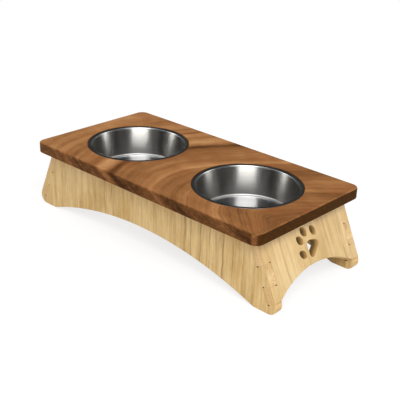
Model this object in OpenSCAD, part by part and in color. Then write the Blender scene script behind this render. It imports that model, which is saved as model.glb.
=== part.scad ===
// Raised feeder stand for a small dog: a walnut board on a finger jointed pine base,
// with two lift-out steel bowls. Millimetres, +Z up, origin on the floor under the middle.

/* [Board] */
// Length of the top board
board_l = 400; // [380:5:440]
// Width of the top board
board_w = 200; // [190:5:230]
// Thickness of the top board
board_t = 15; // [13:1:20]
// Radius of the board's corners, seen from above
board_corner_r = 12; // [6:1:20]
// Radius of the eased edges of the board
board_edge_r = 2; // [1:0.5:4]

/* [Base] */
// Height of the board's top above the floor
stand_h = 102; // [95:1:130]
// Length of the base at the floor, between the sharp corners of its feet
base_l = 450; // [435:5:480]
// Width of the base over its long panels
base_w = 166; // [164:1:180]
// Thickness of the base panels
panel_t = 12; // [10:1:12]
// Room between a bowl's hole and an end panel, at the board's underside
end_room = 6; // [3:0.5:8]
// Radius of the feet at their outer corners
foot_r = 11; // [6:1:14]
// Length of the arch under a long panel, at the floor
long_arch_l = 373; // [320:1:380]
// Height of the arch under a long panel
long_arch_h = 33.6; // [20:0.2:45]
// Radius of the arch under an end panel
end_arch_r = 134; // [125:1:200]
// Height of the arch under an end panel, along the panel
end_arch_h = 38.5; // [36:0.5:44]

/* [Finger joints] */
// Length of the lowest finger, which is the foot of a long panel, along the slope
foot_finger = 18.2; // [15:0.2:20]
// Length of the lower finger of an end panel
low_finger = 20.3; // [16:0.1:24]
// Length of the upper finger of a long panel
mid_finger = 26; // [18:0.5:28]
// Radius of the cutter's relief at the bottom corners of a socket
relief_r = 1.5; // [0.8:0.1:2]

/* [Paw print] */
// Turn of the paw print towards the near edge of its panel, in degrees
paw_turn = 39.5; // [0:0.5:60]
// Height of the middle of the pad along the end panel
paw_up = 57.5; // [56:0.5:62]
// Distance of the middle of the pad from the middle of the end panel
paw_side = 5; // [-10:1:10]
// Radius of the two heel lobes of the pad
pad_heel_r = 4.6; // [3:0.1:5]
// Distance between the centres of the heel lobes
pad_heel_gap = 14; // [10:0.5:15]
// Drop of the heel lobes below the middle of the pad
pad_heel_drop = 2.8; // [1:0.1:4]
// Radius of the front of the pad
pad_tip_r = 5.6; // [3:0.1:6]
// Rise of the front of the pad above its middle
pad_tip_rise = 5.2; // [3:0.1:6]
// Length of a toe
toe_l = 14.4; // [8:0.1:15]
// Width of a toe
toe_w = 9.4; // [5:0.1:10]
// Distance of an outer toe from the paw's middle line
outer_toe_x = 17.4; // [16:0.1:20]
// Rise of an outer toe above the middle of the pad
outer_toe_y = 10; // [7:0.1:12]
// Distance of an inner toe from the paw's middle line
inner_toe_x = 6.3; // [5.5:0.1:8]
// Rise of an inner toe above the middle of the pad
inner_toe_y = 23; // [21:0.1:24]
// Lean of an outer toe away from the paw's middle line, in degrees
outer_toe_lean = 12; // [0:1:30]
// Lean of an inner toe away from the paw's middle line, in degrees
inner_toe_lean = 4; // [0:1:10]

/* [Bowls] */
// Distance between the centres of the two bowls
bowl_spacing = 200; // [180:1:206]
// Outer radius of a bowl's rim
bowl_rim_r = 70; // [60:0.5:70]
// Radius of the rolled edge of the rim
rim_roll_r = 2.7; // [1.6:0.1:3]
// Height of the rim above the board
rim_proud = 0.3; // [0.1:0.1:1]
// Depth of a bowl's floor below the top of the board
bowl_depth = 40; // [30:1:55]
// Radius of a bowl's floor, to the sharp corner with its wall
bowl_floor_r = 58; // [45:0.5:62]
// Radius between a bowl's wall and its floor
bowl_fillet_r = 2; // [1:0.5:10]
// Thickness of the bowl's steel
bowl_wall = 0.8; // [0.6:0.1:1.2]
// Room around the rim in its rebate
rim_clearance = 0.4; // [0.3:0.1:1]
// Room around the bowl's wall in the board's hole
hole_clearance = 0.6; // [0.4:0.1:1]

/* [Blocks and cleats] */
// Length of a corner block along the board's underside
block_l = 20; // [18:1:24]
// Width of a corner block, out from the long panel
block_w = 22; // [20:1:24]
// Height of a corner block
block_h = 27; // [24:1:30]
// Distance of a block's upright screw from the block's inner end
upright_screw_x = 6; // [5:0.5:8]
// Distance of a block's upright screw from the long panel
upright_screw_y = 15.4; // [14:0.2:16]
// Distance of a block's screw in the long panel from the block's inner end
long_screw_x = 16; // [14:0.5:16]
// Depth of a block's screw in the long panel below the board
long_screw_z = 7.6; // [6:0.2:9]
// Distance of a block's screw in the end panel from the long panel
end_screw_y = 6.6; // [5.6:0.2:8]
// Depth of a block's screw in the end panel below the board
end_screw_z = 18.8; // [17:0.2:20]
// Length of a centre cleat
cleat_l = 90; // [70:5:100]
// Width of a centre cleat, out from the long panel
cleat_w = 16; // [14:1:20]
// Height of a centre cleat
cleat_h = 20; // [16:1:24]

/* [Screws] */
// Radius of a screw's shank
screw_r = 2; // [1.5:0.1:2.2]
// Radius of a screw's head
screw_head_r = 3.8; // [3:0.1:4.2]
// Height of a screw's countersunk head
screw_head_h = 2.4; // [2:0.1:3]
// Length of a screw's point
screw_tip_l = 4; // [3:0.5:5]
// Radius of the blunt end of a screw's point
screw_tip_r = 0.4; // [0.2:0.1:0.6]
// Length of the two slots that cross in a screw's head
screw_slot_l = 4.2; // [3:0.2:5]
// Width of a slot in a screw's head
screw_slot_w = 1; // [0.6:0.1:1.2]
// Depth of a slot in a screw's head
screw_slot_depth = 1.4; // [1:0.1:1.8]
// Depth of a screw in the board
board_bite = 8; // [6:0.5:10]
// Depth of a screw in a panel
panel_bite = 7; // [5:0.5:8]
// Room around a screw in its hole
screw_clearance = 0.1; // [0.05:0.05:0.2]
// Distance between the upright screws of a cleat
cleat_upright_gap = 60; // [56:1:64]
// Distance between the level screws of a cleat
cleat_level_gap = 30; // [20:1:36]

/* [Hidden] */

$fn = 96;

// Enough to pass clear through a face that is cut
past = 1;

// The bowls, with the seat at the bottom of the rim's rebate
seat_z = stand_h - rim_roll_r + rim_proud;
floor_z = stand_h - bowl_depth;
mouth_r = bowl_rim_r - 2 * rim_roll_r;
wall_lean = atan((mouth_r - bowl_floor_r) / (seat_z - floor_z));
fillet_x = bowl_floor_r + bowl_fillet_r * tan(wall_lean) - bowl_fillet_r / cos(wall_lean);
rebate_r = bowl_rim_r + rim_clearance;
hole_r = mouth_r + bowl_wall / cos(wall_lean) + hole_clearance;

// The base, whose end panels lean from the bowls' ends out to the feet
under_z = stand_h - board_t;
foot_x = base_l / 2;
out_y = base_w / 2;
in_y = out_y - panel_t;
end_run = foot_x - bowl_spacing / 2 - hole_r - end_room;
splay = acos(panel_t / norm([end_run, under_z])) - atan2(under_z, end_run);
slope_l = under_z / cos(splay);
long_arch_r = (pow(long_arch_l / 2, 2) + pow(long_arch_h, 2)) / (2 * long_arch_h);
foot_run = foot_r / tan((90 - splay) / 2);
low_mark = foot_finger;
mid_mark = low_mark + low_finger;
high_mark = mid_mark + mid_finger;

// The corner blocks and the cleats, which hang from the board
block_in_x = end_inside(under_z) - block_l;
block_low_z = under_z - block_h;
end_screw_l = end_inside(under_z - end_screw_z) - block_in_x + panel_bite;
cleat_low_z = under_z - cleat_h;

// Where the inner face of the right end panel stands at a height z
function end_inside(z) = foot_x - z * tan(splay) - panel_t / cos(splay);

// A point in the side view: up the outer face of the right end panel, then into the base
function end_point(up, into) =
    [foot_x - up * sin(splay) - into * cos(splay), up * cos(splay) - into * sin(splay)];

// The direction square to the line that touches two circles on their left-hand side
function touch_angle(c1, r1, c2, r2) =
    atan2(c2[1] - c1[1], c2[0] - c1[0]) + acos((r1 - r2) / norm(c2 - c1));
function around(c, r, angle) = c + r * [cos(angle), sin(angle)];

module both_ends() {
    children();
    mirror([1, 0, 0]) children();
}

module four_corners() {
    both_ends() {
        children();
        mirror([0, 1, 0]) children();
    }
}

// A section of the board across one of its sides, with eased edges
module board_section(width) {
    translate([-width / 2 + board_edge_r, 0]) square([width - 2 * board_edge_r, board_t]);
    translate([-width / 2, board_edge_r]) square([width, board_t - 2 * board_edge_r]);
    for (x = [-1, 1], z = [board_edge_r, board_t - board_edge_r])
        translate([x * (width / 2 - board_edge_r), z]) circle(board_edge_r);
}

module board_blank() {
    rotate([90, 0, 90])
        linear_extrude(board_l - 2 * board_corner_r, center = true) board_section(board_w);
    rotate([90, 0, 0])
        linear_extrude(board_w - 2 * board_corner_r, center = true) board_section(board_l);
    four_corners()
        translate([board_l / 2 - board_corner_r, board_w / 2 - board_corner_r, 0])
            rotate_extrude() intersection() {
                board_section(2 * board_corner_r);
                square([board_corner_r, board_t]);
            }
}

// The hole for one bowl, with the rebate that its rim drops into
module bowl_hole() {
    translate([0, 0, under_z - past]) cylinder(h = board_t + 2 * past, r = hole_r);
    translate([0, 0, seat_z]) cylinder(h = stand_h - seat_z + past, r = rebate_r);
}

// A countersunk wood screw along +Z, head first, grown by room on every side
module screw_body(length, room) {
    cylinder(h = screw_head_h, r1 = screw_head_r + room, r2 = screw_r + room);
    cylinder(h = length - screw_tip_l, r = screw_r + room);
    translate([0, 0, length - screw_tip_l])
        cylinder(h = screw_tip_l + room, r1 = screw_r + room, r2 = screw_tip_r + room);
}

module screw(length) {
    difference() {
        screw_body(length, 0);
        for (turn = [0, 90])
            rotate(turn) translate([-screw_slot_l / 2, -screw_slot_w / 2, -past])
                cube([screw_slot_l, screw_slot_w, past + screw_slot_depth]);
    }
}

// One screw, or the hole that takes it
module screw_or_hole(length, hole) {
    if (hole) screw_body(length, screw_clearance);
    else screw(length);
}

module block_board_screw(hole) {
    translate([block_in_x + upright_screw_x, in_y - upright_screw_y, block_low_z])
        screw_or_hole(block_h + board_bite, hole);
}

module block_long_screw(hole) {
    translate([block_in_x + long_screw_x, in_y - block_w, under_z - long_screw_z])
        rotate([-90, 0, 0]) screw_or_hole(block_w + panel_bite, hole);
}

module block_end_screw(hole) {
    translate([block_in_x, in_y - end_screw_y, under_z - end_screw_z])
        rotate([0, 90, 0]) screw_or_hole(end_screw_l, hole);
}

module cleat_board_screw(hole) {
    translate([cleat_upright_gap / 2, in_y - cleat_w / 2, cleat_low_z])
        screw_or_hole(cleat_h + board_bite, hole);
}

module cleat_panel_screw(hole) {
    translate([cleat_level_gap / 2, in_y - cleat_w, under_z - cleat_h / 2])
        rotate([-90, 0, 0]) screw_or_hole(cleat_w + panel_bite, hole);
}

module top_board() {
    color("#8a5a36") difference() {
        translate([0, 0, under_z]) board_blank();
        both_ends() translate([bowl_spacing / 2, 0, 0]) bowl_hole();
        four_corners() block_board_screw(true);
        four_corners() cleat_board_screw(true);
    }
}

// A socket in the end of a long panel, between two marks up the slope
module end_socket(from, to) {
    polygon([end_point(from, -past), end_point(to, -past),
             end_point(to, panel_t), end_point(from, panel_t)]);
}

module long_panel_outline() {
    top_x = foot_x - under_z * tan(splay);
    difference() {
        union() {
            both_ends() {
                polygon([[0, 0], [foot_x - foot_run, 0], [foot_x - foot_run, foot_r],
                         end_point(foot_run, 0), [top_x, under_z], [0, under_z]]);
                translate([foot_x - foot_run, foot_r]) circle(foot_r);
            }
        }
        translate([0, long_arch_h - long_arch_r]) circle(long_arch_r, $fn = 720);
        both_ends() {
            end_socket(low_mark, mid_mark);
            end_socket(high_mark, slope_l + panel_t);
            for (mark = [low_mark, mid_mark, high_mark])
                translate(end_point(mark, panel_t - relief_r)) circle(relief_r);
        }
    }
}

// The rear long panel; the front one is the same, turned about
module long_panel() {
    difference() {
        translate([0, out_y, 0]) rotate([90, 0, 0]) linear_extrude(panel_t) long_panel_outline();
        both_ends() block_long_screw(true);
        both_ends() cleat_panel_screw(true);
    }
}

module front_panel() {
    color("#d7b47d") rotate(180) long_panel();
}

module rear_panel() {
    color("#d7b47d") long_panel();
}

// A toe with a point at each end, from two arcs
module toe() {
    arc_r = (pow(toe_l, 2) + pow(toe_w, 2)) / (4 * toe_w);
    intersection_for (side = [-1, 1])
        translate([side * (arc_r - toe_w / 2), 0]) circle(arc_r);
}

// A pad from three lobes and the lines that touch them
module pad() {
    tip = [0, pad_tip_rise];
    heel = [pad_heel_gap / 2, -pad_heel_drop];
    angle = touch_angle(tip, pad_tip_r, heel, pad_heel_r);
    translate(tip) circle(pad_tip_r);
    both_ends() {
        translate(heel) circle(pad_heel_r);
        polygon([tip, around(tip, pad_tip_r, angle), around(heel, pad_heel_r, angle),
                 heel, heel - [0, pad_heel_r], [0, -pad_heel_drop - pad_heel_r]]);
    }
}

module paw_print() {
    pad();
    both_ends() {
        translate([outer_toe_x, outer_toe_y]) rotate(-outer_toe_lean) toe();
        translate([inner_toe_x, inner_toe_y]) rotate(-inner_toe_lean) toe();
    }
}

// The right end panel seen square on from outside, with the slope upwards
module end_panel_outline() {
    top = slope_l + panel_t;
    difference() {
        translate([-out_y, low_mark]) square([base_w, top - low_mark]);
        translate([0, end_arch_h - end_arch_r]) circle(end_arch_r, $fn = 360);
        both_ends() {
            translate([in_y, mid_mark]) square([panel_t + past, mid_finger]);
            for (mark = [mid_mark, high_mark])
                translate([in_y + relief_r, mark]) circle(relief_r);
        }
        translate([paw_side, paw_up]) rotate(paw_turn) paw_print();
    }
}

// The right end panel; the left one is the same, turned about
module end_panel() {
    difference() {
        translate([foot_x, 0, 0]) rotate([0, -splay, 0]) rotate([90, 0, 90])
            translate([0, 0, -panel_t]) linear_extrude(panel_t) end_panel_outline();
        translate([0, -out_y - past, under_z]) cube([base_l, base_w + 2 * past, base_l]);
        block_end_screw(true);
        mirror([0, 1, 0]) block_end_screw(true);
    }
}

module left_end_panel() {
    color("#e3c088") rotate(180) end_panel();
}

module right_end_panel() {
    color("#e3c088") end_panel();
}

// The half section of a bowl's inside, grown by the steel's thickness for its outside
module bowl_section(grow) {
    bend = [fillet_x, floor_z + bowl_fillet_r];
    r = bowl_fillet_r + grow;
    polygon([[0, floor_z - grow], [fillet_x, floor_z - grow], bend,
             around(bend, r, -wall_lean), [mouth_r + grow / cos(wall_lean), seat_z], [0, seat_z]]);
    translate(bend) circle(r);
}

module rim_section() {
    intersection() {
        translate([bowl_rim_r - rim_roll_r, seat_z]) difference() {
            circle(rim_roll_r);
            circle(rim_roll_r - bowl_wall);
        }
        translate([0, seat_z]) square([bowl_rim_r + past, rim_roll_r + past]);
    }
}

module bowl() {
    rotate_extrude() {
        difference() {
            bowl_section(bowl_wall);
            bowl_section(0);
        }
        rim_section();
    }
}

module left_bowl() {
    color("#b9bcc0") translate([-bowl_spacing / 2, 0, 0]) bowl();
}

module right_bowl() {
    color("#b9bcc0") translate([bowl_spacing / 2, 0, 0]) bowl();
}

// The block in the rear right corner; the other three are its mirror images
module corner_block() {
    color("#c9a873") difference() {
        translate([0, in_y, 0]) rotate([90, 0, 0]) linear_extrude(block_w)
            polygon([[block_in_x, under_z], [end_inside(under_z), under_z],
                     [end_inside(block_low_z), block_low_z], [block_in_x, block_low_z]]);
        block_board_screw(true);
        block_long_screw(true);
        block_end_screw(true);
    }
}

module front_left_block() {
    mirror([1, 0, 0]) mirror([0, 1, 0]) corner_block();
}

module front_right_block() {
    mirror([0, 1, 0]) corner_block();
}

module rear_left_block() {
    mirror([1, 0, 0]) corner_block();
}

module rear_right_block() {
    corner_block();
}

// The cleat behind the rear panel; the front one is its mirror image
module centre_cleat() {
    color("#c9a873") difference() {
        translate([-cleat_l / 2, in_y - cleat_w, cleat_low_z]) cube([cleat_l, cleat_w, cleat_h]);
        both_ends() cleat_board_screw(true);
        both_ends() cleat_panel_screw(true);
    }
}

module front_cleat() {
    mirror([0, 1, 0]) centre_cleat();
}

module rear_cleat() {
    centre_cleat();
}

module block_board_screws() {
    color("#c9c7bd") four_corners() block_board_screw(false);
}

module block_long_panel_screws() {
    color("#c9c7bd") four_corners() block_long_screw(false);
}

module block_end_panel_screws() {
    color("#c9c7bd") four_corners() block_end_screw(false);
}

module cleat_board_screws() {
    color("#c9c7bd") four_corners() cleat_board_screw(false);
}

module cleat_panel_screws() {
    color("#c9c7bd") four_corners() cleat_panel_screw(false);
}

top_board();
front_panel();
rear_panel();
left_end_panel();
right_end_panel();
left_bowl();
right_bowl();
front_left_block();
front_right_block();
rear_left_block();
rear_right_block();
front_cleat();
rear_cleat();
block_board_screws();
block_long_panel_screws();
block_end_panel_screws();
cleat_board_screws();
cleat_panel_screws();
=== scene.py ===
# A raised feeder stand: walnut board, finger jointed pine base, two spun steel bowls.
import math

import bpy
import numpy as np
from mathutils import Matrix, Vector
from mathutils.geometry import delaunay_2d_cdt


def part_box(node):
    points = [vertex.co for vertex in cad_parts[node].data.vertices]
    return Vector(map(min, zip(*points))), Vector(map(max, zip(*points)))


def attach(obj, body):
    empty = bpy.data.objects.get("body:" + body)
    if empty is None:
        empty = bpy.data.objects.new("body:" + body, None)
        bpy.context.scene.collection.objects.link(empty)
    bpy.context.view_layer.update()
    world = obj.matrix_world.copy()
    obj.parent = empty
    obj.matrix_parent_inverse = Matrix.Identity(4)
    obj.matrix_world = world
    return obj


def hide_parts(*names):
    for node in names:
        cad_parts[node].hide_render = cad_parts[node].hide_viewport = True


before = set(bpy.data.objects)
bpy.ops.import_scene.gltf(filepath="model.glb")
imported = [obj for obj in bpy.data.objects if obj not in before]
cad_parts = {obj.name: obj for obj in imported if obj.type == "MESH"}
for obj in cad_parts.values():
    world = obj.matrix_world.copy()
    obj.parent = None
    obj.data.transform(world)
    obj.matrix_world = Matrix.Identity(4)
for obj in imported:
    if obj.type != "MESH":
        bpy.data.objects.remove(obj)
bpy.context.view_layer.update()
mm = 0.001  # sizes below are in millimetres, meshes in metres
print("frame loaded:", len(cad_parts), "nodes")


def boxMm(node):
    low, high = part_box(node)
    return np.array(low) / mm, np.array(high) / mm


boardLow, boardHigh = boxMm("top_board")
frontLow, frontHigh = boxMm("front_panel")
bowlLow, bowlHigh = boxMm("right_bowl")
topZ, underZ = boardHigh[2], boardLow[2]
bowlX = (bowlLow[0] + bowlHigh[0]) / 2
panelT = frontHigh[1] - frontLow[1]
outY = -frontLow[1]

# the bowls' sizes, which the board's holes and the lean of the base follow
bowl = {
    "rollR": 2.7, "floorR": 58, "filletR": 2, "wall": 0.8, "rimRoom": 0.4, "holeRoom": 0.6,
    "turns": 192, "flatRings": 8, "bendRings": 12, "rollRings": 21, "underRings": 15,
    "nearBend": 0.3,  # a ring this close to each bend keeps the shading of the flat runs flat
    "sharpAngle": 40,  # edges that turn more than this stay sharp
}
rimR = (bowlHigh[0] - bowlLow[0]) / 2
mouthR = rimR - 2 * bowl["rollR"]
seatZ = bowlHigh[2] - bowl["rollR"]
floorZ = bowlLow[2] + bowl["wall"]
bowlLean = math.atan((mouthR - bowl["floorR"]) / (seatZ - floorZ))
outerR = mouthR + bowl["wall"] / math.cos(bowlLean)
holeR = outerR + bowl["holeRoom"]


# Outlines: every loop runs with the wood on its left, so holes run clockwise

meshing = {
    "samePoint": 1e-3, "capGap": 1e-6,  # points closer than this are one, in a loop and in a cap
    "leastMitre": 0.6,  # stops the point of a sharp corner from running away
    "softAngle": 32,  # corners that turn less than this are shaded round
}


def arc(centre, radius, start, end, count):
    # centre + radius * (cos a, sin a), a from start to end in degrees
    a = np.radians(np.linspace(start, end, count))
    return np.column_stack((centre[0] + radius * np.cos(a), centre[1] + radius * np.sin(a)))


def circle(centre, radius, count):
    # a full turn, clockwise as the loop of a hole
    return arc(centre, radius, 0, -360, count + 1)[:-1]


def mirrored(runs):
    # the runs of a right half, mirrored in x and walked backwards
    return [(np.reshape(points, (-1, 2))[::-1] * (-1, 1), ease) for points, ease in runs[::-1]]


def loopOf(runs):
    # runs of (points, ease) end to end; a point that repeats the one before it goes
    points = np.concatenate([np.reshape(p, (-1, 2)) for p, _ in runs])
    ease = np.concatenate([np.full(np.size(p) // 2, e, float) for p, e in runs])
    steps = np.linalg.norm(points - np.roll(points, 1, axis=0), axis=1)
    fresh = steps > meshing["samePoint"]
    return points[fresh], ease[fresh]


def easedWall(thickness, steps):
    # profile rows: quarter round over the face, straight wall, quarter round under it
    # columns: inset, inset per ease, depth, depth per ease, tilt of the normal from the face
    over = np.radians(np.linspace(0, 90, steps + 1))
    under = over + math.pi / 2
    none = np.zeros(steps + 1)
    return np.vstack((
        np.column_stack((none, 1 - np.sin(over), none, 1 - np.cos(over), over)),
        np.column_stack((none, 1 - np.sin(under), none + thickness, -1 - np.cos(under), under)),
    ))


def steppedWall(step, drop, root, thickness, steps):
    # profile rows of a hole with a rebate: its arris, wall and root, then the hole's own eased wall
    turn = np.radians(np.linspace(0, 90, steps + 1))
    none = np.zeros(steps + 1)
    lower = easedWall(thickness, steps)
    lower[: steps + 1, 2] += drop
    return np.vstack((
        np.column_stack((none + step, 1 - np.sin(turn), none, 1 - np.cos(turn), turn)),
        np.column_stack((step - root + root * np.cos(turn), none,
                         drop - root + root * np.sin(turn), none, math.pi / 2 - turn)),
        lower,
    ))


def capOf(flats):
    # triangles between the loops: those whose middle has an odd number of edges to its right
    points = np.concatenate(flats)
    starts = np.cumsum([0] + [len(f) for f in flats])
    edges = np.concatenate([
        start + np.column_stack((np.arange(len(f)), np.roll(np.arange(len(f)), -1)))
        for start, f in zip(starts, flats)
    ])
    spots = [Vector(p) for p in points.tolist()]
    tris, origins = delaunay_2d_cdt(spots, edges.tolist(), [], 0, meshing["capGap"], True)[2:4]
    source = np.array([origin[0] for origin in origins])
    tris = source[np.array(tris)]
    middleX, middleY = points[tris].mean(axis=1).T[..., None]
    (x1, y1), (x2, y2) = points[edges[:, 0]].T, points[edges[:, 1]].T
    spans = (y1 > middleY) != (y2 > middleY)
    rise = np.where(y1 == y2, 1, y2 - y1)
    right = middleX < x1 + (x2 - x1) * (middleY - y1) / rise
    tris = tris[(spans & right).sum(axis=1) % 2 == 1]
    a, b, c = points[tris[:, 0]], points[tris[:, 1]], points[tris[:, 2]]
    turned = (b - a)[:, 0] * (c - a)[:, 1] - (b - a)[:, 1] * (c - a)[:, 0] < 0
    tris[turned] = tris[turned][:, ::-1]
    return tris


def gridQuads(rows, columns, closed):
    # a quad between each two neighbours of two neighbouring rows, with its row, spot and next spot;
    # closed rows also join end to start
    spots = columns if closed else columns - 1
    row, spot = np.meshgrid(np.arange(rows - 1), np.arange(spots), indexing="ij")
    row, spot = row.ravel(), spot.ravel()
    beyond = (spot + 1) % columns
    quads = np.column_stack((row * columns + spot, (row + 1) * columns + spot,
                             (row + 1) * columns + beyond, row * columns + beyond))
    return quads, row, spot, beyond


def makePiece(name, places, faces, normals=None, values=None):
    # places in mm; values are point attributes, one number or three for each point
    mesh = bpy.data.meshes.new(name)
    mesh.from_pydata((places * mm).tolist(), [], faces)
    mesh.polygons.foreach_set("use_smooth", np.ones(len(mesh.polygons), bool))
    for key, value in (values or {}).items():
        wide = value.ndim == 2
        spot = mesh.attributes.new(key, "FLOAT_VECTOR" if wide else "FLOAT", "POINT")
        spot.data.foreach_set("vector" if wide else "value", value.astype(np.float32).ravel())
    if normals is not None:
        mesh.normals_split_custom_set(normals.tolist())
    piece = bpy.data.objects.new(name, mesh)
    bpy.context.scene.collection.objects.link(piece)
    return piece


def plate(name, loops, axes, origin, grainAxis, seed, bevel=None):
    # each profile row is carried along its loop: a point goes into the wood by the row's inset and
    # down from the face by its depth; the first and last rows are capped
    # loops: (points, ease, rows); axes: where the face's u, v and outward normal point
    # bevel: points above its first value rise by its second times their depth
    places, quads, quadNormals, faceRings, backRings = [], [], [], [], []
    values = {key: [] for key in ("grain", "wall", "endGrain", "arris", "ease")}
    start = 0
    for points, ease, rows in loops:
        count = len(points)
        ahead = np.roll(points, -1, axis=0) - points
        ahead /= np.linalg.norm(ahead, axis=1)[:, None]
        leaving = np.column_stack((ahead[:, 1], -ahead[:, 0]))
        coming = np.roll(leaving, 1, axis=0)
        agree = (leaving * coming).sum(1)
        mitre = (leaving + coming) / np.maximum(1 + agree, meshing["leastMitre"])[:, None]
        between = (leaving + coming) / np.linalg.norm(leaving + coming, axis=1)[:, None]
        soft = (agree > math.cos(math.radians(meshing["softAngle"])))[:, None]
        leaving = np.where(soft, between, leaving)
        coming = np.where(soft, between, coming)

        inset, insetPerEase, depth, depthPerEase, tilt = rows.T[..., None]
        inset = inset + insetPerEase * ease
        depth = depth + depthPerEase * ease
        flat = points - inset[..., None] * mitre
        if bevel:
            above, slope = bevel
            flat[..., 1] += np.where(points[:, 1] > above, slope * depth, 0)
        places.append(np.dstack((flat, -depth)).reshape(-1, 3))
        tilts = np.broadcast_to(tilt, depth.shape)
        values["grain"].append(np.column_stack((flat.reshape(-1, 2), depth.ravel() + seed)))
        values["wall"].append(np.sin(tilts).ravel())
        values["endGrain"].append((np.sin(tilts) * abs(between[:, grainAxis])).ravel())
        values["arris"].append((abs(np.sin(2 * tilts)) * np.minimum(ease, 1)).ravel())
        values["ease"].append(np.broadcast_to(ease, depth.shape).ravel())

        strip, row, spot, beyond = gridQuads(len(rows), count, closed=True)
        quads.append(start + strip)
        across = np.stack((leaving[spot], leaving[spot], coming[beyond], coming[beyond]), axis=1)
        lean = tilt[np.column_stack((row, row + 1, row + 1, row))]
        quadNormals.append(np.concatenate((across * np.sin(lean), np.cos(lean)), axis=2))
        ring = start + np.arange(count)
        faceRings.append((flat[0], ring))
        backRings.append((flat[-1], ring + (len(rows) - 1) * count))
        start += len(rows) * count

    def capped(rings):
        return np.concatenate([ring for _, ring in rings])[capOf([flat for flat, _ in rings])]

    face, back = capped(faceRings), capped(backRings)[:, ::-1]
    normals = np.concatenate((
        np.concatenate(quadNormals).reshape(-1, 3),
        np.tile((0, 0, 1), (face.size, 1)), np.tile((0, 0, -1), (back.size, 1)),
    ))
    axes = np.array(axes, float)
    return makePiece(
        name, np.concatenate(places) @ axes + origin,
        np.concatenate(quads).tolist() + face.tolist() + back.tolist(), normals @ axes,
        {key: np.concatenate(found) for key, found in values.items()},
    )


def dressed(piece, body, node, material):
    # a new piece rides on its body and stands in for a CAD node
    piece.data.materials.append(material)
    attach(piece, body)
    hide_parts(node)


# Shader maths


class Wire:
    # a shader socket that takes part in plain sums: each operator adds its Math node
    def __init__(self, tree, socket=None):
        self.tree = tree
        self.socket = socket

    def node(self, kind, settings=None, sockets=None, out=0):
        made = self.tree.nodes.new(kind)
        for key, value in (settings or {}).items():
            if key == "stops":
                while len(made.color_ramp.elements) < len(value):
                    made.color_ramp.elements.new(1)
                for stop, (place, colour) in zip(made.color_ramp.elements, value):
                    stop.position = place
                    stop.color = colour
            else:
                setattr(made, key, value)
        for key, value in (sockets or {}).items():
            if isinstance(value, Wire):
                self.tree.links.new(value.socket, made.inputs[key])
            else:
                made.inputs[key].default_value = value
        if isinstance(out, tuple):
            return [Wire(self.tree, made.outputs[o]) for o in out]
        return Wire(self.tree, made.outputs[out])

    def math(self, operation, *terms):
        return self.node("ShaderNodeMath", {"operation": operation}, dict(enumerate(terms)))

    def __add__(self, other):
        return self.math("ADD", self, other)

    def __radd__(self, other):
        return self.math("ADD", other, self)

    def __sub__(self, other):
        return self.math("SUBTRACT", self, other)

    def __rsub__(self, other):
        return self.math("SUBTRACT", other, self)

    def __mul__(self, other):
        return self.math("MULTIPLY", self, other)

    def __rmul__(self, other):
        return self.math("MULTIPLY", other, self)

    def __neg__(self):
        return self.math("MULTIPLY", self, -1.0)

    def __abs__(self):
        return self.math("ABSOLUTE", self)


white = (1, 1, 1, 1)


def tint(red, green, blue):
    # an sRGB colour of 0 to 255 as the linear one that a shader takes
    c = np.array((red, green, blue)) / 255
    linear = np.where(c <= 0.04045, c / 12.92, ((c + 0.055) / 1.055) ** 2.4)
    return (*linear.tolist(), 1.0)


def tints(look):
    return {name: tint(*colour) for name, colour in look["colours"].items()}


def startMaterial(name):
    material = bpy.data.materials.new(name)
    material.use_nodes = True
    material.node_tree.nodes.clear()
    return material, Wire(material.node_tree)


def shownBy(graph, shader):
    graph.node("ShaderNodeOutputMaterial", {}, {"Surface": shader}, out=())


def surface(graph, sockets):
    shownBy(graph, graph.node("ShaderNodeBsdfPrincipled", {}, sockets))


def objectMm(graph):
    place = graph.node("ShaderNodeTexCoord", out="Object")
    return graph.node("ShaderNodeVectorMath", {"operation": "SCALE"}, {0: place, "Scale": 1 / mm})


def parts(vector):
    return vector.node("ShaderNodeSeparateXYZ", {}, {0: vector}, out=(0, 1, 2))


def vectorOf(graph, x, y, z):
    return graph.node("ShaderNodeCombineXYZ", {}, {0: x, 1: y, 2: z})


def valueOf(graph, name):
    return graph.node("ShaderNodeAttribute", {"attribute_name": name}, out="Fac")


def ripple(space, size, detail, strength=1):
    # noise about zero times a strength, with the size of a wave on each axis in mm
    waves = space.node("ShaderNodeVectorMath", {"operation": "DIVIDE"}, {0: space, 1: size})
    noise = space.node("ShaderNodeTexNoise", {}, {"Vector": waves, "Scale": 1.0, "Detail": detail})
    return (noise - 0.5) * strength


def smooth(field, low, high):
    # 0 below low, 1 above high, eased between
    return field.node("ShaderNodeMapRange", {"interpolation_type": "SMOOTHSTEP"}, {
        0: field, 1: low, 2: high, 3: 0.0, 4: 1.0})


def namedFields(look, space):
    # the noises and masks that a look's dictionary lists, called by their names
    def noise(name, where=space):
        return ripple(where, *look["noise"][name])

    def mask(name, field):
        return smooth(field, *look["masks"][name])

    return noise, mask


def lineAt(field, place, width):
    # a bell of height 1 about a place: exp(-((field - place) / width)^2)
    off = (field - place) * (1 / width)
    return field.math("EXPONENT", -(off * off))


def blended(graph, mask, under, over):
    # sockets 0, 6 and 7 of a colour's Mix node are its factor and its two colours
    return graph.node("ShaderNodeMix", {"data_type": "RGBA"}, {0: mask, 6: under, 7: over}, out=2)


def bumped(height, depthMm, strength):
    return height.node("ShaderNodeBump", {}, {
        "Strength": strength, "Distance": depthMm * mm, "Height": height})


# The walnut board

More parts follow.
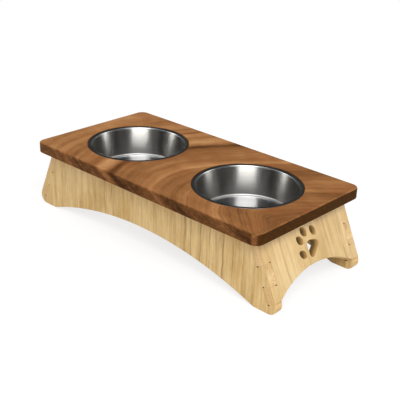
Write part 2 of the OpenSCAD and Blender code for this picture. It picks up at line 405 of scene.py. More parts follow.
board = {
    "cornerR": 12, "edgeR": 2, "rebateEase": 0.35, "rootR": 0.3,
    "steps": 5, "cornerPoints": 25, "holePoints": 180,
    "colours": {
        "dark": (66, 39, 17), "brown": (120, 78, 43), "warm": (158, 107, 63), "light": (192, 138, 88),
        "pale": (214, 165, 112), "red": (150, 84, 46), "endGrain": (60, 34, 5), "endLight": (86, 54, 14),
    },
    "ramp": {"dark": 0.0, "brown": 0.32, "warm": 0.55, "light": 0.78, "pale": 1.0},
    # the figure: arcs about focusY that open towards +x, closer together as they go, and lean down
    # through the board
    "focusY": -55, "spread": 80, "spreadX": -60, "narrowing": 0.35, "leastSpread": 10,
    "bow": 1.1, "skew": 0.2, "fall": 2.3,
    # rings across the board: place along the figure, half width, change of tone
    "rings": ((-252, 5, -0.12), (-231, 5, -0.14), (-174, 13, 0.20), (-146, 9, -0.37), (-128, 5, -0.10),
              (-53, 5, 0.19), (0, 12, -0.07), (74, 8, 0.07)),
    # tone in the middle and its fall along x; strength of the lines there and its change along x and y
    "tone": 0.565, "darkening": 0.0005, "lining": 0.28, "liningX": 0.0004, "liningY": -0.0005,
    # painted shade on the side faces, painted highlights on the arris and on the corners
    "paintedSideShade": 0.38, "paintedArrisHighlight": 0.03, "paintedCornerHighlight": 0.26,
    "redShare": 0.3, "redLess": 0.25, "poreShare": 0.45, "endShare": 0.92,
    # each noise: size of a wave on each axis in mm, detail, strength
    "noise": {
        "sway": ((70, 60, 40), 3, 22), "wobble": ((16, 18, 12), 2, 2), "bands": ((24, 260, 200), 2, 0.5),
        "lines": ((7, 160, 120), 3), "fineLines": ((2.2, 90, 60), 2, 0.75), "clouds": ((50, 40, 40), 3, 0.45),
        "rings": ((45, 45, 45), 1, 1.2), "flecks": ((6, 6, 3), 4, 0.55), "red": ((34, 30, 30), 3),
        "pores": ((0.55, 9, 9), 1), "endFade": ((30, 3, 9), 2, 0.4), "mottle": ((9, 2.4, 1.6), 3),
        "gloss": ((2, 60, 60), 2, 0.35), "relief": ((1.2, 70, 50), 3, 0.6),
    },
    # each mask: where it starts and where it is full
    "masks": {
        "cornerStart": (0.12, 0.4), "cornerEnd": (0.6, 0.85), "red": (-0.05, 0.25), "pores": (0.13, 0.2),
        "ends": (0.72, 0.96), "mottle": (-0.15, 0.3),
    },
    "roughness": 0.44, "poreRough": 0.15, "endRough": 0.08, "arrisSmooth": 0.06, "specular": 0.02,
    "relief": (0.12, 0.5),  # depth in mm, strength
}


def walnutMaterial():
    material, g = startMaterial("walnut")
    inMm = objectMm(g)
    x, y, z = parts(inMm)
    wall, endGrain, arris = valueOf(g, "wall"), valueOf(g, "endGrain"), valueOf(g, "arris")
    noise, mask = namedFields(board, inMm)
    shade = tints(board)
    # distance along the figure, on which bands, lines and rings lie
    q = y - board["focusY"]
    opening = board["spread"] - board["narrowing"] * (x - board["spreadX"])
    opening = g.math("MAXIMUM", board["leastSpread"], opening)
    figure = (x - board["bow"] * g.math("SQRT", q * q + opening * opening) + board["skew"] * q
              - board["fall"] * (topZ - z) + noise("sway") + noise("wobble"))
    along = vectorOf(g, figure, y, z)
    lines = noise("lines", along) + noise("fineLines", along)
    lining = board["lining"] + board["liningX"] * x + board["liningY"] * y
    tone = (board["tone"] - board["darkening"] * x + noise("bands", along) + lining * lines
            + noise("clouds"))
    strength = 1 + noise("rings")
    for place, width, change in board["rings"]:
        tone = tone + change * strength * lineAt(figure, place, width)
    # side faces painted darker than the top as painted shade; painted highlights where they turn the corner
    # and along the rounded arris
    corner = mask("cornerStart", endGrain) - mask("cornerEnd", endGrain)
    tone = (tone - wall * (board["paintedSideShade"] - noise("flecks"))
            + board["paintedArrisHighlight"] * arris + board["paintedCornerHighlight"] * corner)
    stops = [(place, shade[name]) for name, place in board["ramp"].items()]
    colour = g.node("ShaderNodeValToRGB", {"stops": stops}, {0: tone})
    red = mask("red", noise("red")) * (board["redShare"] - board["redLess"] * wall)
    colour = blended(g, red, colour, shade["red"])
    pores = mask("pores", noise("pores", along))
    colour = blended(g, pores * board["poreShare"], colour, shade["dark"])
    endMask = mask("ends", endGrain) * (board["endShare"] + noise("endFade"))
    ends = blended(g, mask("mottle", noise("mottle")), shade["endGrain"], shade["endLight"])
    colour = blended(g, endMask, colour, ends)
    rough = (board["roughness"] + noise("gloss", along) + board["poreRough"] * pores
             + board["endRough"] * endMask - board["arrisSmooth"] * arris)
    height = noise("relief", along) - pores
    surface(g, {"Base Color": colour, "Roughness": rough, "Specular IOR Level": board["specular"],
                "Normal": bumped(height, *board["relief"])})
    return material


def makeBoard():
    r, steps, thickness = board["cornerR"], board["steps"], topZ - underZ
    atX, atY = boardHigh[0] - r, boardHigh[1] - r
    corners = ((atX, atY), (-atX, atY), (-atX, -atY), (atX, -atY))
    outline = loopOf([
        (arc(at, r, 90 * k, 90 * k + 90, board["cornerPoints"]), board["edgeR"])
        for k, at in enumerate(corners)
    ])
    loops = [(*outline, easedWall(thickness, steps))]
    step = rimR + bowl["rimRoom"] - holeR
    hole = steppedWall(step, topZ - seatZ, board["rootR"], thickness, steps)
    count = board["holePoints"]
    for side in (-1, 1):
        edge = circle((side * bowlX, 0), holeR, count)
        loops.append((edge, np.full(count, board["rebateEase"]), hole))
    piece = plate("walnut_board", loops, np.eye(3), (0, 0, topZ), grainAxis=0, seed=0)
    dressed(piece, "stand", "top_board", walnutMaterial())


makeBoard()
print("board made")

# The pine base

base = {
    "length": 450, "footR": 11, "archL": 373, "archH": 33.6, "endArchR": 134, "endArchH": 38.5,
    "footFinger": 18.2, "lowFinger": 20.3, "midFinger": 26, "reliefR": 1.5, "endRoom": 6,
    "edgeEase": 0.9, "fingerEase": 0.22, "reliefEase": 0.12, "topEase": 0.04, "pawEase": 0.5, "steps": 4,
    "footPoints": 20, "archPoints": 121, "endArchPoints": 46, "reliefPoints": 11,
    "bevelReach": 0.5,  # the bevel that keeps an end panel's top level takes points this close to it
}
paw = {
    "turn": 39.5, "up": 57.5, "side": 5,
    "heelR": 4.6, "heelGap": 14, "heelDrop": 2.8, "tipR": 5.6, "tipRise": 5.2,
    "toeL": 14.4, "toeW": 9.4, "lobePoints": 20, "toePoints": 16,
    "toes": ((17.4, 10, 12), (6.3, 23, 4)),  # out, up, lean in degrees
}
footX = base["length"] / 2
endRun = footX - bowlX - holeR - base["endRoom"]
splay = math.acos(panelT / math.hypot(endRun, underZ)) - math.atan2(underZ, endRun)
slopeL = underZ / math.cos(splay)
lowMark = base["footFinger"]
midMark = lowMark + base["lowFinger"]
highMark = midMark + base["midFinger"]


def slopePoints(up, into):
    # up the outer face of the right end panel, then square into the base, in the side view
    up, into = np.broadcast_arrays(np.asarray(up, float), np.asarray(into, float))
    return np.column_stack((footX - up.ravel() * math.sin(splay) - into.ravel() * math.cos(splay),
                            up.ravel() * math.cos(splay) - into.ravel() * math.sin(splay)))


def reliefRun(mark, way, inward):
    # the cutter's half round at the bottom of a socket: way is -1 down the slope, 1 up it
    start, end = (0, 180) if inward else (180, 0)
    a = np.radians(np.linspace(start, end, base["reliefPoints"]))
    r = base["reliefR"]
    return mark + way * r * np.sin(a), panelT - r - r * np.cos(a)


def longOutline():
    # from the arch's right end round the foot and up the fingers to the top; the left is its mirror image
    footR = base["footR"]
    footRun = footR / math.tan((math.pi / 2 - splay) / 2)
    finger, relief, edge = base["fingerEase"], base["reliefEase"], base["edgeEase"]
    foot = arc((footX - footRun, footR), footR, -90, math.degrees(splay), base["footPoints"])
    right = [
        (foot, edge),
        (slopePoints(lowMark, 0), finger),
        (slopePoints(*reliefRun(lowMark, -1, True)), relief),
        (slopePoints(*reliefRun(midMark, 1, False)), relief),
        (slopePoints(midMark, 0), finger),
        (slopePoints(highMark, 0), finger),
        (slopePoints(*reliefRun(highMark, -1, True)), relief),
        (slopePoints(slopeL + panelT * math.tan(splay), panelT), base["topEase"]),
    ]
    half, rise = base["archL"] / 2, base["archH"]
    archR = (half ** 2 + rise ** 2) / (2 * rise)
    reach = math.degrees(math.asin(half / archR))
    arch = arc((0, rise - archR), archR, 90 + reach, 90 - reach, base["archPoints"])
    return loopOf([*right, *mirrored(right), (arch, edge)])


def pawLoops():
    # a pad of three lobes with touching lines, and four toes of two arcs each
    tip, heel = np.array((0, paw["tipRise"])), np.array((paw["heelGap"] / 2, -paw["heelDrop"]))
    way = heel - tip
    slant = math.acos((paw["tipR"] - paw["heelR"]) / math.hypot(*way))
    touch = math.degrees(math.atan2(way[1], way[0]) + slant)
    lobe, half = paw["lobePoints"], paw["toePoints"]
    pad = np.concatenate((
        arc(heel, paw["heelR"], -90, touch, lobe),
        arc(tip, paw["tipR"], touch, 180 - touch, lobe),
        arc(heel * (-1, 1), paw["heelR"], 180 - touch, 270, lobe),
    ))
    arcR = (paw["toeL"] ** 2 + paw["toeW"] ** 2) / (4 * paw["toeW"])
    reach = math.degrees(math.asin(paw["toeL"] / 2 / arcR))
    shift = arcR - paw["toeW"] / 2
    toe = np.concatenate((arc((-shift, 0), arcR, -reach, reach, half),
                          arc((shift, 0), arcR, 180 - reach, 180 + reach, half)))

    def turned(points, degrees):
        c, s = math.cos(math.radians(degrees)), math.sin(math.radians(degrees))
        return points @ np.array(((c, s), (-s, c)))

    shapes = [pad]
    for out, up, lean in paw["toes"]:
        for side in (-1, 1):
            shapes.append(turned(toe, -side * lean) + (side * out, up))
    placed = [turned(shape, paw["turn"]) + (paw["side"], paw["up"]) for shape in shapes]
    return [loopOf([(shape[::-1], base["pawEase"])]) for shape in placed]


def endOutline():
    # from the middle of the arch to the right, up the fingers to the top; the left is its mirror image
    finger, relief, edge = base["fingerEase"], base["reliefEase"], base["edgeEase"]
    archR = base["endArchR"]
    middle = base["endArchH"] - archR
    reach = math.degrees(math.acos((lowMark - middle) / archR))

    def socket(mark, way, inward):
        up, into = reliefRun(mark, way, inward)
        return np.column_stack((outY - into, up))

    right = [
        (arc((0, middle), archR, 90, 90 - reach, base["endArchPoints"]), edge),
        ((outY, lowMark), finger),
        ((outY, midMark), finger),
        (socket(midMark, -1, True), relief),
        (socket(highMark, 1, False), relief),
        ((outY, highMark), finger),
        ((outY, slopeL), base["topEase"]),
    ]
    return loopOf([*right, *mirrored(right)])


panels = {
    # node: which outline, turn about the upright axis, contrast, streaks as (place, half width, strength)
    "front_panel": ("long", 1, 0.85, (
        (-75, 1.6, 0.5), (-60, 1.3, 0.5), (-6, 1.0, -0.6), (22, 2.2, 0.3), (74, 2.2, 0.7), (84, 1.1, 0.45),
        (100, 0.8, 0.6), (115, 0.7, 0.55), (137, 1.0, 0.65), (152, 0.8, 0.6), (168, 0.7, 0.45),
        (184, 0.8, 0.45),
    )),
    "rear_panel": ("long", -1, 0.85, (
        (-140, 1.2, 0.4), (-96, 2.0, 0.5), (-40, 1.2, 0.35), (12, 1.0, 0.3), (58, 2.2, 0.45),
        (118, 1.1, 0.4), (160, 1.0, 0.3),
    )),
    "right_end_panel": ("end", 1, 0.6, (
        (-62, 0.9, 0.2), (-48, 1.4, 0.35), (-37, 1.0, 0.3), (34, 1.2, 0.3), (61, 1.6, 0.4),
    )),
    "left_end_panel": ("end", -1, 0.6, (
        (-55, 1.4, 0.3), (-20, 1.0, 0.25), (28, 1.5, 0.35), (50, 1.0, 0.25),
    )),
}
pine = {
    "colours": {
        # the paw and socket colours are painted shade for the paw's cut-outs and the relief holes
        "pale": (230, 199, 142), "honey": (193, 153, 84), "line": (158, 117, 60), "dark": (136, 97, 48),
        "wallLight": (242, 211, 160), "wallBrown": (222, 185, 127), "endGrain": (192, 151, 96),
        "seam": (150, 108, 58), "pawShadeNear": (214, 174, 108), "pawDeepShade": (114, 86, 34), "socket": (84, 56, 24),
    },
    "seedStep": 200,  # gives each panel wood of its own
    # shares of the slow tone and the blotches: without contrast, and more with it
    "tone": 0.42, "slowShare": (0.5, 0.6), "blotchShare": (0.2, 0.4),
    "growthWidth": 0.03, "growthShare": 1.15, "growthLeast": 0.3, "hairShare": 0.45,
    "bandFall": 0.02, "bandUp": 43, "sawWidth": 0.03, "sawShare": 0.3,
    # paw and sockets are told from the other edges by their ease, to within a width; their walls get painted
    # shade
    "pawWidth": 0.1, "pawShadeShare": 0.9, "socketWidth": 0.03, "socketShadeShare": 0.8, "seamShare": 0.55,
    # each noise: size of a wave across, up and through in mm, detail, strength
    "noise": {
        "sway": ((60, 170, 60), 2, 10), "wobble": ((14, 50, 20), 1, 2.5), "slow": ((46, 110, 46), 2),
        "growth": ((14, 260, 60), 1), "growthFade": ((30, 35, 30), 1, 0.8), "grainStreaks": ((6, 110, 14), 3),
        "fibres": ((1.4, 40, 5), 3), "blotches": ((15, 26, 20), 3), "specks": ((1.8, 8, 4), 2, 0.5),
        "hairs": ((3.8, 46, 10), 1), "wave": ((26, 34, 30), 2, 7), "streakFade": ((16, 30, 30), 1),
        "bands": ((90, 3.6, 45), 2, 0.8), "saw": ((90, 5, 30), 2), "endRings": ((3.2, 150, 2.2), 3),
    },
    # each mask: where it starts and where it is full
    "masks": {
        "tone": (0.0, 1.0), "hairs": (0.2, 0.28), "hairyParts": (-0.25, 0.2), "streakFade": (-0.3, 0.05),
        "bands": (-0.2, 0.2), "endRings": (-0.2, 0.2), "ends": (0.45, 0.85), "pawDepth": (1.0, 8.5),
        "overSockets": (2, 5), "wall": (0.5, 0.95), "arris": (0.02, 0.1), "wideEase": (0.3, 0.45),
    },
    "roughness": 0.52, "fibreRough": 0.3, "growthRough": 0.1, "wallRough": 0.08, "specular": 0.25,
    "fibreHeight": 0.7, "streakHeight": 0.5, "growthDepth": 0.6,
    "relief": (0.1, 0.5),  # depth in mm, strength
}


def pineMaterial(name, contrast, streaks, seed):
    material, g = startMaterial(name)
    grain = g.node("ShaderNodeAttribute", {"attribute_name": "grain"}, out="Vector")
    across, up, through = parts(grain)
    wall, endGrain = valueOf(g, "wall"), valueOf(g, "endGrain")
    arris, ease = valueOf(g, "arris"), valueOf(g, "ease")
    noise, mask = namedFields(pine, grain)
    shade = tints(pine)
    along = vectorOf(g, across + noise("sway") + noise("wobble"), up, through)

    def byContrast(share):
        return pine[share][0] + pine[share][1] * contrast

    # slow tone, growth lines where a slow field crosses its middle, then streaks and fibres
    slow, blotches = noise("slow"), noise("blotches")
    grainStreaks, fibres = noise("grainStreaks", along), noise("fibres", along)
    tone = (pine["tone"] + byContrast("slowShare") * slow + byContrast("blotchShare") * blotches
            + contrast * (grainStreaks + fibres + noise("specks", along)))
    colour = blended(g, mask("tone", tone), shade["pale"], shade["honey"])
    growth = lineAt(noise("growth", along), 0.0, pine["growthWidth"]) * (pine["growthShare"] * contrast ** 2)
    growth = growth * (pine["growthLeast"] + noise("growthFade"))
    hairs = mask("hairs", noise("hairs", along)) * (contrast * pine["hairShare"])
    hairs = hairs * mask("hairyParts", slow + blotches)
    colour = blended(g, g.math("MAXIMUM", growth, hairs), colour, shade["line"])
    wave = across + noise("wave")
    fade = mask("streakFade", noise("streakFade"))
    for place, width, strength in streaks:
        over = shade["dark"] if strength > 0 else shade["pale"]
        colour = blended(g, lineAt(wave, place, width) * fade * abs(strength), colour, over)

    # sawn edges: level bands on the finger ends, end grain under the arches
    bands = mask("bands", noise("bands") - pine["bandFall"] * (up - pine["bandUp"]))
    edge = blended(g, bands, shade["wallLight"], shade["wallBrown"])
    saw = lineAt(noise("saw"), 0.0, pine["sawWidth"])
    edge = blended(g, saw * pine["sawShare"], edge, shade["line"])
    endRings = mask("endRings", noise("endRings", along))
    ends = blended(g, endRings, shade["endGrain"], shade["wallBrown"])
    edge = blended(g, mask("ends", endGrain), edge, ends)
    # painted shade on the paw's cut-out walls, darker the deeper into the panel
    pawShadeTone = blended(g, mask("pawDepth", through - seed), shade["pawShadeNear"], shade["pawDeepShade"])
    pawShadeMask = lineAt(ease, base["pawEase"], pine["pawWidth"])
    edge = blended(g, pawShadeMask * pine["pawShadeShare"], edge, pawShadeTone)
    # painted shade in the relief holes at the bottom of the sockets
    socketShade = lineAt(ease, base["reliefEase"], pine["socketWidth"])
    socketShade = socketShade * (1 - mask("overSockets", up - highMark))
    edge = blended(g, socketShade * pine["socketShadeShare"], edge, shade["socket"])
    colour = blended(g, mask("wall", wall), colour, edge)
    seam = mask("arris", arris) * (1 - mask("wideEase", ease))
    colour = blended(g, seam * pine["seamShare"], colour, shade["seam"])

    rough = (pine["roughness"] + pine["fibreRough"] * fibres + pine["growthRough"] * growth
             + pine["wallRough"] * wall)
    height = (pine["fibreHeight"] * fibres + pine["streakHeight"] * grainStreaks
              - pine["growthDepth"] * growth)
    surface(g, {"Base Color": colour, "Roughness": rough, "Specular IOR Level": pine["specular"],
                "Normal": bumped(height, *pine["relief"])})
    return material


def makePanels():
    rows = easedWall(panelT, base["steps"])
    shapes = {
        "long": [(*longOutline(), rows)],
        "end": [(*loop, rows) for loop in (endOutline(), *pawLoops())],
    }
    lean, rise = math.sin(splay), math.cos(splay)
    frames = {
        "long": (((1, 0, 0), (0, 0, 1), (0, -1, 0)), (0, -outY, 0)),
        "end": (((0, 1, 0), (-lean, 0, rise), (rise, 0, lean)), (footX, 0, 0)),
    }
    bevels = {"long": None, "end": (slopeL - base["bevelReach"], math.tan(splay))}
    for k, (node, (kind, way, contrast, streaks)) in enumerate(panels.items()):
        axes, origin = frames[kind]
        about = np.array((way, way, 1))
        seed = pine["seedStep"] * k
        piece = plate("pine_" + node, shapes[kind], np.array(axes) * about, np.array(origin) * about,
                      grainAxis=1, seed=seed, bevel=bevels[kind])
        dressed(piece, "stand", node, pineMaterial("pine_" + node, contrast, streaks, seed))


makePanels()
print("panels made")

# The spun steel bowls

steel = {
    # each finish: colour, roughness, anisotropy, turn of the brushing, depth of its lines in mm
    "finishes": {
        # the colours are painted light: the floor and the bend are paler for a painted reflection and the
        # bend's painted highlight, and the wall is darker as painted shade
        "floor": ((223, 225, 229), 0.31, 0.7, 0.0, 0.0004),
        "wall": ((150, 148, 144), 0.324, 0.81, 0.25, 0.003),
        "rim": ((157, 159, 159), 0.31, 0.4, 0.0, 0.002),
        "bend": ((246, 245, 242), 0.36, 0.9, 0.0, 0.0002),
    },
    "grooveTone": 0.95, "coarseShare": 0.6, "lineRough": 0.05, "coarseRough": 0.04, "lineStrength": 0.2,
    "lap": 0.6,  # mm along the lines' pattern for each radian of turn
    # each noise: size of a wave along radius, lap and height in mm, or on x, y and z for the smudges,
    # detail, strength
    "noise": {"lines": ((0.7, 9, 0.7), 3), "coarse": ((5, 14, 5), 2), "smudges": ((26, 26, 26), 2, 0.05)},
    "masks": {"grooves": (-0.3, 0.3)},
}


def bowlProfile():
    # half section from the middle of the floor up the wall, over the rolled rim and back underneath
    roll, wall, fillet = bowl["rollR"], bowl["wall"], bowl["filletR"]
    leanDegrees = math.degrees(bowlLean)
    bend = (bowl["floorR"] + fillet * math.tan(bowlLean) - fillet / math.cos(bowlLean), floorZ + fillet)
    inside = arc(bend, fillet, -90, -leanDegrees, bowl["bendRings"])
    outside = arc(bend, fillet + wall, -leanDegrees, -90, bowl["bendRings"])
    rings = bowl["flatRings"]
    flat = np.append(np.linspace(0, bend[0], rings)[:-1], bend[0] - bowl["nearBend"])
    near = bowl["nearBend"] / (seatZ - floorZ)
    rise = np.concatenate(([near], np.linspace(0, 1, rings)[1:-1], [1 - near]))[:, None]
    rollAt = (rimR - roll, seatZ)
    mouth, outerMouth = np.array((mouthR, seatZ)), np.array((outerR, seatZ))
    runs = (
        ("floor", np.column_stack((flat, np.full(rings, floorZ)))),
        ("bend", inside),
        ("wall", inside[-1] + rise * (mouth - inside[-1])),
        ("rim", arc(rollAt, roll, 180, 0, bowl["rollRings"])),
        ("rim", arc(rollAt, roll - wall, 0, 180, bowl["underRings"])),
        ("wall", outerMouth + rise * (outside[0] - outerMouth)),
        ("wall", outside),
        ("floor", np.column_stack((flat[::-1], np.full(rings, floorZ - wall)))),
    )
    order = list(steel["finishes"])
    finish = np.concatenate([np.full(len(run), order.index(name)) for name, run in runs])
    return np.concatenate([run for _, run in runs]), finish


def spun(name, profile, finish, centreX, turns):
    # (r cos a, r sin a, z) over the profile and a full turn, with one point at each end on the axis
    a = np.arange(turns) * 2 * math.pi / turns
    r, z = profile[1:-1, :1], profile[1:-1, 1:]
    rings = np.dstack((centreX + r * np.cos(a), r * np.sin(a), z + 0 * a)).reshape(-1, 3)
    poles = np.array(((centreX, 0, profile[0, 1]), (centreX, 0, profile[-1, 1])))
    quads = gridQuads(len(r), turns, closed=True)[0]
    one, two = np.arange(turns), np.roll(np.arange(turns), -1)
    last = (len(r) - 1) * turns
    first = np.column_stack((np.full(turns, len(rings)), one, two))
    end = np.column_stack((np.full(turns, len(rings) + 1), last + two, last + one))
    faces = quads.tolist() + first.tolist() + end.tolist()
    piece = makePiece(name, np.concatenate((rings, poles)), faces)
    piece.data.set_sharp_from_angle(angle=math.radians(bowl["sharpAngle"]))
    chosen = np.repeat((*finish[1:-2], finish[0], finish[-1]), turns)
    piece.data.polygons.foreach_set("material_index", chosen.astype(np.int32))
    return piece


def steelMaterial(finish):
    material, g = startMaterial("steel_" + finish)
    bare, spread, stretch, turned, lineDepth = steel["finishes"][finish]
    inMm = objectMm(g)
    x, y, z = parts(inMm)
    off = abs(x) - bowlX
    radius = g.math("SQRT", off * off + y * y)
    lap = g.math("ARCTAN2", y, off) * steel["lap"]
    # lines left by the spinning tool run round the axis, so they hardly change along a turn
    noise, mask = namedFields(steel, vectorOf(g, radius, lap, z))
    lines, coarse = noise("lines"), noise("coarse")
    groove = tint(*(steel["grooveTone"] * v for v in bare))
    colour = blended(g, mask("grooves", lines + steel["coarseShare"] * coarse), tint(*bare), groove)
    rough = (spread + steel["lineRough"] * lines + steel["coarseRough"] * coarse
             + noise("smudges", inMm))
    surface(g, {"Base Color": colour, "Metallic": 1.0, "Roughness": rough, "Anisotropic": stretch,
                "Anisotropic Rotation": turned, "Normal": bumped(lines, lineDepth, steel["lineStrength"])})
    return material


def makeBowls():
    steels = [steelMaterial(finish) for finish in steel["finishes"]]
    for side, node in ((-1, "left_bowl"), (1, "right_bowl")):
        piece = spun("steel_" + node, *bowlProfile(), side * bowlX, bowl["turns"])
        dressed(piece, node, node, steels[0])
        for other in steels[1:]:
            piece.data.materials.append(other)


makeBowls()
print("bowls made")

# Blocks, cleats and screws stay as CAD nodes with finishes of their own

fixing = {
    "colours": {
        "pale": (214, 178, 122), "brown": (172, 128, 78), "zinc": (196, 192, 180), "dull": (150, 146, 132),
    },
    # size of a wave of the grain on each axis in mm; the fibres' size is a share of it
    "uprightGrain": (2.6, 3.0, 40), "levelGrain": (40, 2.6, 2.6), "grainDetail": 3,
    "fibreSize": 0.3, "fibreDetail": 2, "fibreShare": 0.5,
    "noise": {"zinc": ((1.6, 1.6, 1.6), 3)},
    "masks": {"sawn": (-0.25, 0.25), "zinc": (-0.2, 0.2)},
    "sawnRough": 0.7, "zincRough": 0.38, "unevenness": 0.4,
    "sawnRelief": (0.2, 0.6), "zincRelief": (0.03, 0.4),  # depth in mm, strength
}


def blockMaterial(name, grainSize):
    material, g = startMaterial(name)
    inMm = objectMm(g)
    mask = namedFields(fixing, inMm)[1]
    shade = tints(fixing)
    grain = ripple(inMm, grainSize, fixing["grainDetail"])
    fibreSize = tuple(fixing["fibreSize"] * size for size in grainSize)
    fibres = ripple(inMm, fibreSize, fixing["fibreDetail"])
    sawn = mask("sawn", grain + fixing["fibreShare"] * fibres)
    colour = blended(g, sawn, shade["pale"], shade["brown"])
    rough = fixing["sawnRough"] + fixing["unevenness"] * fibres
    surface(g, {"Base Color": colour, "Roughness": rough, "Normal": bumped(fibres, *fixing["sawnRelief"])})
    return material


def zincMaterial():
    material, g = startMaterial("zinc_plate")
    noise, mask = namedFields(fixing, objectMm(g))
    shade = tints(fixing)
    grey = noise("zinc")
    colour = blended(g, mask("zinc", grey), shade["zinc"], shade["dull"])
    rough = fixing["zincRough"] + fixing["unevenness"] * grey
    surface(g, {"Base Color": colour, "Metallic": 1.0, "Roughness": rough,
                "Normal": bumped(grey, *fixing["zincRelief"])})
    return material


def finishFixings():
    finishes = (
        ("screws", zincMaterial()),
        ("block", blockMaterial("block_pine_upright", fixing["uprightGrain"])),
        ("cleat", blockMaterial("block_pine_level", fixing["levelGrain"])),
    )
    for name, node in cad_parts.items():
        found = [material for word, material in finishes if word in name]
        if found:
            node.data.materials.clear()
            node.data.materials.append(found[0])


finishFixings()
print("fixings finished")

# Camera, light and ground

shot = {
    # angles in degrees, lens and place in mm
    "azimuth": 43.059, "elevation": 24.42, "roll": -1.641, "lens": 72.733,
    "place": (683.943, -710.417, 495.903),
}
lights = {
    # azimuth and elevation from the middle of the stand, distance in m, width, height in m, power in W
    "front": (54, 46, 1.9, 1.1, 0.8, 17.6),
    "lowSheen": (43.1, 10.2, 5.0, 3.55, 1.1, 207),
    "highSheen": (42.7, 45.3, 5.0, 3.75, 1.32, 208),
    "leftSheen": (-46.3, 8.8, 5.0, 0.93, 2.06, 100),
    "rightSheen": (138.9, 8.8, 5.0, 0.94, 2.06, 98),
}
sky = {"level": 0.65, "seenLevel": 1.0}  # brightness as a light, and where it is seen
ground = {
    "size": 8.0, "points": 3, "below": 0.05,  # size in m; just below the feet, in mm
    "colours": {"pale": (236, 236, 236), "paler": (238.6, 238.6, 238.6), "seen": (150, 150, 150)},
    "lift": 0.76, "farLevel": 1.0,  # glow where the floor is seen: near, and past the away mask
    "noise": {"speckle": ((5, 5, 5), 2)},
    "masks": {"speckle": (-0.4, 0.4), "away": (450, 1300)},
}
cards = {
    "radius": 5.6, "rows": 13, "columns": 25,
    # azimuth from, to, elevation from, to in degrees, brightness
    "shells": {"dark": (-60, 160, 1, 90, 0.005), "grey": (160, 300, 1, 90, 0.06)},
}


def towards(azimuth, elevation):
    # (sin a cos e, -cos a cos e, sin e): azimuth 0 looks from -y, 90 from +x
    a, e = np.radians(azimuth), np.radians(elevation)
    return np.stack((np.sin(a) * np.cos(e), -np.cos(a) * np.cos(e), np.sin(e) + 0 * a), axis=-1)


def makeCamera():
    ahead = Vector(-towards(shot["azimuth"], shot["elevation"]))
    right = ahead.cross(Vector((0, 0, 1))).normalized()
    down = ahead.cross(right)
    roll = math.radians(shot["roll"])
    across = math.cos(roll) * right + math.sin(roll) * down
    up = math.sin(roll) * right - math.cos(roll) * down
    lens = bpy.data.cameras.new("camera")
    lens.lens = shot["lens"]
    camera = bpy.data.objects.new("camera", lens)
    turn = Matrix((across, up, -ahead)).transposed().to_4x4()
    camera.matrix_world = Matrix.Translation(Vector(shot["place"]) * mm) @ turn
    bpy.context.scene.collection.objects.link(camera)
    bpy.context.scene.camera = camera


def makeLights():
    for name, (azimuth, elevation, distance, width, height, power) in lights.items():
        lamp = bpy.data.lights.new(name, "AREA")
        lamp.shape = "RECTANGLE"
        lamp.size = width
        lamp.size_y = height
        lamp.energy = power
        light = bpy.data.objects.new(name, lamp)
        back = Vector(towards(azimuth, elevation))
        light.location = back * distance
        light.rotation_euler = (-back).to_track_quat("-Z", "Y").to_euler()
        light.visible_diffuse = name == "front"  # it lights the wood, the others show in the steel alone
        light.visible_glossy = name != "front"
        bpy.context.scene.collection.objects.link(light)


def seenDirectly(graph):
    # 1 for what the camera sees itself, in a mirror or through glass
    camera, glossy, through = graph.node("ShaderNodeLightPath", out=(
        "Is Camera Ray", "Is Glossy Ray", "Is Transmission Ray"))
    return graph.math("MINIMUM", camera + glossy + through, 1.0)


def makeWorld():
    world = bpy.data.worlds.new("studio")
    bpy.context.scene.world = world
    world.use_nodes = True
    world.node_tree.nodes.clear()
    g = Wire(world.node_tree)
    strength = sky["level"] + (sky["seenLevel"] - sky["level"]) * seenDirectly(g)
    shader = g.node("ShaderNodeBackground", {}, {"Color": white, "Strength": strength})
    g.node("ShaderNodeOutputWorld", {}, {"Surface": shader}, out=())


def sheetOf(name, places, rows, columns):
    # a grid of rows by columns points as one open sheet
    quads = gridQuads(rows, columns, closed=False)[0][:, ::-1]
    piece = makePiece(name, places, quads.tolist())
    return piece


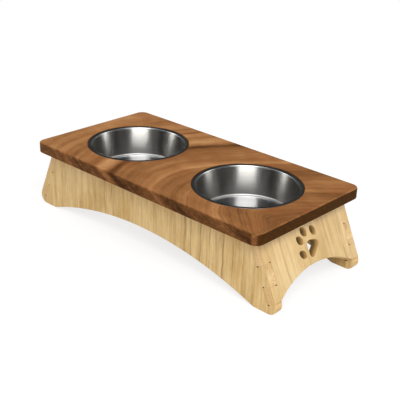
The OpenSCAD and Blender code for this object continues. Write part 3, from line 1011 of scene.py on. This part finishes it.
def makeGround():
    count = ground["points"]
    side = np.linspace(-0.5, 0.5, count) * ground["size"] / mm
    x, y = np.meshgrid(side, side)
    places = np.column_stack((x.ravel(), y.ravel(), np.full(x.size, -ground["below"])))
    floor = sheetOf("floor", places, count, count)
    material, g = startMaterial("pale_floor")
    inMm = objectMm(g)
    x, y, _ = parts(inMm)
    noise, mask = namedFields(ground, inMm)
    shade = tints(ground)
    seen = seenDirectly(g)
    pale = blended(g, mask("speckle", noise("speckle")), shade["pale"], shade["paler"])
    matt = g.node("ShaderNodeBsdfDiffuse", {}, {"Color": blended(g, seen, pale, shade["seen"])})
    glow = g.node("ShaderNodeEmission", {}, {"Color": white, "Strength": ground["lift"] * seen})
    near = g.node("ShaderNodeAddShader", {}, {0: matt, 1: glow})
    far = g.node("ShaderNodeEmission", {}, {"Color": white, "Strength": ground["farLevel"]})
    away = mask("away", g.math("SQRT", x * x + y * y)) * seen
    top = g.node("ShaderNodeMixShader", {}, {0: away, 1: near, 2: far})
    behind = g.node("ShaderNodeNewGeometry", out="Backfacing")
    clear = g.node("ShaderNodeBsdfTransparent")
    shownBy(g, g.node("ShaderNodeMixShader", {}, {0: behind, 1: top, 2: clear}))
    floor.data.materials.append(material)


def makeCards():
    # parts of a sphere about the stand that only reflections see
    rows, columns = cards["rows"], cards["columns"]
    for name, (azimuthFrom, azimuthTo, low, high, level) in cards["shells"].items():
        material, g = startMaterial(name + "_card")
        shownBy(g, g.node("ShaderNodeEmission", {}, {"Color": white, "Strength": level}))
        a, e = np.meshgrid(np.linspace(azimuthFrom, azimuthTo, columns), np.linspace(low, high, rows))
        places = (towards(a, e) * cards["radius"] / mm).reshape(-1, 3)
        card = sheetOf(name + "_card", places, rows, columns)
        card.data.materials.append(material)
        card.visible_camera = card.visible_diffuse = card.visible_shadow = False
        card.visible_transmission = card.visible_volume_scatter = False


makeCamera()
makeLights()
makeWorld()
makeGround()
makeCards()
bpy.context.scene.view_settings.view_transform = "Standard"
print("stage set")
